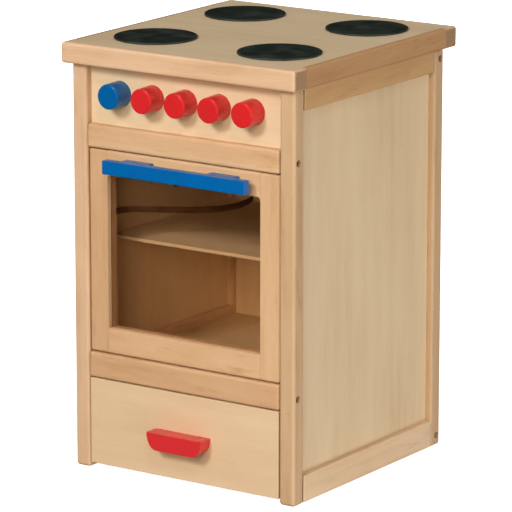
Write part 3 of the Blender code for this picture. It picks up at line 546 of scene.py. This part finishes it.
def screw_head(name, place, direction, radius, height, body, steel):
    """A domed screw head with a cross recess. It stands on place and faces along direction."""
    around = 48
    dome_steps = 5
    recess_deep = height * 0.75
    angles = [math.tau * index / around for index in range(around)]
    rim_high = height * 0.3
    rings = [[(radius, angle, rise) for angle in angles] for rise in (0.0, rim_high)]
    for step in range(1, dome_steps + 1):
        share = step / dome_steps
        rise = height * (0.3 + 0.7 * math.sin(share * math.pi / 2))
        ring = []
        for angle in angles:
            reach = cross_recess(angle, radius * 0.52, radius * 0.13)
            ring.append((radius + (reach - radius) * share, angle, rise))
        rings.append(ring)
    recess_floor = []
    for angle in angles:
        reach = cross_recess(angle, radius * 0.44, radius * 0.10)
        recess_floor.append((reach, angle, height - recess_deep))
    rings.append(recess_floor)
    bm = bmesh.new()
    rows = [
        [bm.verts.new((far * math.cos(angle), far * math.sin(angle), rise)) for far, angle, rise in ring]
        for ring in rings
    ]
    for low, high in zip(rows, rows[1:]):
        for index in range(around):
            after = (index + 1) % around
            bm.faces.new((low[index], low[after], high[after], high[index]))
    bottom = bm.verts.new((0, 0, 0))
    recess = bm.verts.new((0, 0, height - recess_deep))
    for index in range(around):
        after = (index + 1) % around
        bm.faces.new((rows[0][after], rows[0][index], bottom))
        bm.faces.new((rows[-1][index], rows[-1][after], recess))
    turn = Vector(direction).to_track_quat("Z", "Y").to_matrix().to_4x4()
    bmesh.ops.transform(bm, matrix=Matrix.Translation(place) @ turn, verts=bm.verts)
    return new_piece(name, bm, steel, body)


def washer(name, place, direction, outer, inner, thick, body, steel):
    """A flat ring with rounded rims, for a screw to press on."""
    around = 40
    rim = thick * 0.25
    profile = (
        (inner, 0), (outer - rim, 0), (outer, rim),
        (outer, thick - rim), (outer - rim, thick), (inner, thick),
    )
    bm = bmesh.new()
    rows = []
    for index in range(around):
        angle = math.tau * index / around
        way = Vector((math.cos(angle), math.sin(angle), 0))
        rows.append([bm.verts.new(way * far + Vector((0, 0, rise))) for far, rise in profile])
    for index in range(around):
        near, far = rows[index], rows[(index + 1) % around]
        for corner in range(len(profile)):
            after = (corner + 1) % len(profile)
            bm.faces.new((near[corner], far[corner], far[after], near[after]))
    turn = Vector(direction).to_track_quat("Z", "Y").to_matrix().to_4x4()
    bmesh.ops.transform(bm, matrix=Matrix.Translation(place) @ turn, verts=bm.verts)
    return new_piece(name, bm, steel, body)


def make_leg_screws(steel):
    """Screw heads sunk deep in the holes in the sides of the legs."""
    rows = {"front": ("front_upper_rail", "front_lower_rail"), "back": ("back_top_rail", "back_bottom_rail")}
    for row, rails in rows.items():
        for side, way in SIDES:
            low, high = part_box(f"leg_{row}_{side}")
            outer = high.x if way > 0 else low.x
            y = low.y + LEG_SCREW_FROM_FACE if row == "front" else high.y - LEG_SCREW_FROM_FACE
            for rail in rails:
                rail_low, rail_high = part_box(rail)
                place = (outer - way * LEG_SCREW_DEEP, y, (rail_low.z + rail_high.z) / 2)
                name = f"screw_{rail}_{side}"
                screw_head(name, place, (way, 0, 0), LEG_SCREW_RADIUS, LEG_SCREW_HIGH, "cabinet", steel)


def make_handle_screws(steel):
    """Screws that hold the two handles, seen from inside the door and the drawer."""
    size = (HANDLE_SCREW_RADIUS, HANDLE_SCREW_HIGH)
    for side in ("left", "right"):
        low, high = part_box(f"door_handle_block_{side}")
        middle = (low + high) / 2
        place = (middle.x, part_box("door_top_rail")[1].y, middle.z)
        screw_head(f"door_handle_screw_{side}", place, (0, 1, 0), *size, "door", steel)
    low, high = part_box("drawer_handle")
    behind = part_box("drawer_front")[1].y
    for side, way in SIDES:
        place = (way * (high.x - low.x) * DRAWER_SCREW_OUT, behind, high.z - DRAWER_SCREW_BELOW_TOP)
        screw_head(f"drawer_handle_screw_{side}", place, (0, 1, 0), *size, "drawer", steel)


def smooth_route(points, steps):
    """A Catmull-Rom curve through the points."""
    padded = [2 * points[0] - points[1], *points, 2 * points[-1] - points[-2]]
    for a, b, c, d in zip(padded, padded[1:], padded[2:], padded[3:]):
        slope = c - a
        bend = 2 * a - 5 * b + 4 * c - d
        twist = 3 * b - a - 3 * c + d
        for step in range(steps):
            t = step / steps
            yield b + (slope * t + bend * t**2 + twist * t**3) / 2
    yield points[-1]


def strap_section():
    """The strap's outline across its length, with rounded edges: (across, up)."""
    half_high = STRAP_WIDTH / 2
    half_thick = STRAP_THICK / 2 - STRAP_SHY
    section = []
    for corner, (across, up) in enumerate(((-1, -1), (1, -1), (1, 1), (-1, 1)), start=2):
        for step in range(STRAP_RIM_STEPS + 1):
            angle = math.pi / 2 * (corner + step / STRAP_RIM_STEPS)
            section.append((
                across * (half_thick - STRAP_RIM) + STRAP_RIM * math.cos(angle),
                up * (half_high - STRAP_RIM) + STRAP_RIM * math.sin(angle),
            ))
    return section


def make_strap(steel):
    """The leather strap on edge, from the door's left stile in a loop to the left side panel."""
    strap_low, strap_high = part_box("door_strap")
    panel_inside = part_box("side_panel_left")[1].x
    door_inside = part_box("door_stile_left")[1].y
    corner = Vector((panel_inside, door_inside, (strap_low.z + strap_high.z) / 2))
    points = [corner + Vector((x, y, 0)) * MM for x, y in STRAP_ROUTE]
    route = list(smooth_route(points, STRAP_STEPS))
    section = strap_section()
    bm = bmesh.new()
    rows = []
    for index, point in enumerate(route):
        along = route[min(index + 1, len(route) - 1)] - route[max(index - 1, 0)]
        across = Vector((-along.y, along.x, 0)).normalized()
        rows.append([bm.verts.new(point + across * a + Vector((0, 0, b))) for a, b in section])
    for near, far in zip(rows, rows[1:]):
        for index in range(len(section)):
            after = (index + 1) % len(section)
            bm.faces.new((near[index], near[after], far[after], far[index]))
    bm.faces.new(rows[0])
    bm.faces.new(rows[-1])
    strap = new_piece("strap_leather", bm, leather("strap_leather"), None)
    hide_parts("door_strap")
    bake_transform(strap)
    fasten_strap(points, steel)


def fasten_strap(points, steel):
    """A washer and a screw at each end of the strap."""
    door_place = points[0].lerp(points[1], 0.5) + Vector((0, STRAP_THICK / 2, 0))
    side_place = points[-1].lerp(points[-2], 0.5) + Vector((STRAP_THICK / 2, 0, 0))
    ends = (("door", door_place, (0, 1, 0), "door"), ("side", side_place, (1, 0, 0), "cabinet"))
    for name, place, direction, body in ends:
        size = (WASHER_OUTER, WASHER_INNER, WASHER_THICK)
        washer(f"strap_washer_{name}", place, direction, *size, body, steel)
        head = place + Vector(direction) * WASHER_THICK
        size = (STRAP_SCREW_RADIUS, STRAP_SCREW_HIGH)
        screw_head(f"strap_screw_{name}", head, direction, *size, body, steel)


def make_floor():
    """A plain white floor that glows like a studio sweep. It doesn't light the part or mirror in it."""
    bm = bmesh.new()
    bmesh.ops.create_grid(bm, x_segments=FLOOR_CELLS, y_segments=FLOOR_CELLS, size=FLOOR_HALF)
    mesh = bpy.data.meshes.new("studio_floor")
    bm.to_mesh(mesh)
    bm.free()
    floor = bpy.data.objects.new("studio_floor", mesh)
    bpy.context.scene.collection.objects.link(floor)
    tree = Tree("studio_floor")
    clouds = tree.noise(tree.coordinates(), 0.8, 2.0)
    tree.finish(
        Base_Color=tree.mix(clouds, (0.90, 0.90, 0.90), (0.87, 0.87, 0.87)),
        Roughness=0.8,
        Emission_Color=(1.0, 1.0, 1.0),
        Emission_Strength=FLOOR_GLOW,
    )
    mesh.materials.append(tree.material)
    floor.visible_diffuse = False
    floor.visible_glossy = False
    floor.visible_shadow = False


def towards(azimuth, elevation):
    """The direction to a point that is azimuth to the right of the front, and elevation up."""
    flat = math.cos(elevation)
    return Vector((math.sin(azimuth) * flat, -math.cos(azimuth) * flat, math.sin(elevation)))


def make_lights():
    for name, azimuth, elevation, distance, size, power, colour, mirrored in LIGHTS:
        data = bpy.data.lights.new(name, "AREA")
        data.shape = "DISK"
        data.size = size
        data.energy = power
        data.color = colour
        light = bpy.data.objects.new(name, data)
        way = towards(math.radians(azimuth), math.radians(elevation))
        light.location = LIGHTS_AIM + way * distance
        light.rotation_euler = way.to_track_quat("Z", "Y").to_euler()
        light.visible_glossy = mirrored
        bpy.context.scene.collection.objects.link(light)


def make_world():
    """Dim surroundings, brighter below, for light from a white floor. Gloss doesn't show them."""
    world = bpy.data.worlds.new("studio")
    bpy.context.scene.world = world
    world.use_nodes = True
    tree = world.node_tree
    direction = tree.nodes.new("ShaderNodeTexCoord").outputs["Generated"]
    split = tree.nodes.new("ShaderNodeSeparateXYZ")
    strength = tree.nodes.new("ShaderNodeMapRange")
    ends = {"From Min": -0.2, "From Max": 0.2, "To Min": WORLD_BELOW, "To Max": WORLD_ABOVE}
    for key, value in ends.items():
        strength.inputs[key].default_value = value
    tree.links.new(direction, split.inputs["Vector"])
    tree.links.new(split.outputs["Z"], strength.inputs["Value"])
    tree.links.new(strength.outputs["Result"], tree.nodes["Background"].inputs["Strength"])
    tree.nodes["Background"].inputs["Color"].default_value = (*WARM_LIGHT, 1)
    world.cycles_visibility.glossy = False


def make_camera():
    """A view from the front right, a little above, with a long lens."""
    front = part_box("worktop_front_strip")[0].y
    target = Vector((0, front + CAMERA_TARGET_BEHIND_TOP, CAMERA_TARGET_HEIGHT))
    back = towards(CAMERA_AZIMUTH, CAMERA_ELEVATION)
    right = Vector((math.cos(CAMERA_AZIMUTH), math.sin(CAMERA_AZIMUTH), 0))
    up = back.cross(right)
    aim = target + right * CAMERA_SHIFT_RIGHT + up * CAMERA_SHIFT_UP
    data = bpy.data.cameras.new("camera")
    data.lens = CAMERA_LENS
    data.sensor_width = SENSOR
    camera = bpy.data.objects.new("camera", data)
    camera.location = aim + back * CAMERA_DISTANCE
    camera.rotation_euler = (math.pi / 2 - CAMERA_ELEVATION, 0, CAMERA_AZIMUTH)
    bpy.context.scene.collection.objects.link(camera)
    bpy.context.scene.camera = camera


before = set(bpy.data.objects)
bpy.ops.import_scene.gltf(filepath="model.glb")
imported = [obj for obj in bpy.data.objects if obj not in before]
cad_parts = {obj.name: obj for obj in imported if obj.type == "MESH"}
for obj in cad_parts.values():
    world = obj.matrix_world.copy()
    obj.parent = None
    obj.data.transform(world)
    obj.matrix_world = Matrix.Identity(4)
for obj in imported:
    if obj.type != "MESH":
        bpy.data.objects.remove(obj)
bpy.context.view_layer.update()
bpy.context.scene.view_settings.view_transform = "Standard"
zinc_steel = plated_steel("zinc_plated_steel", ZINC)
bronzed_steel = plated_steel("bronzed_steel", BRONZE)
dress_wood()
dress_plywood()
dress_painted()
dress_rest(zinc_steel)
make_leg_screws(bronzed_steel)
make_handle_screws(zinc_steel)
make_strap(zinc_steel)
make_floor()
make_lights()
make_world()
make_camera()
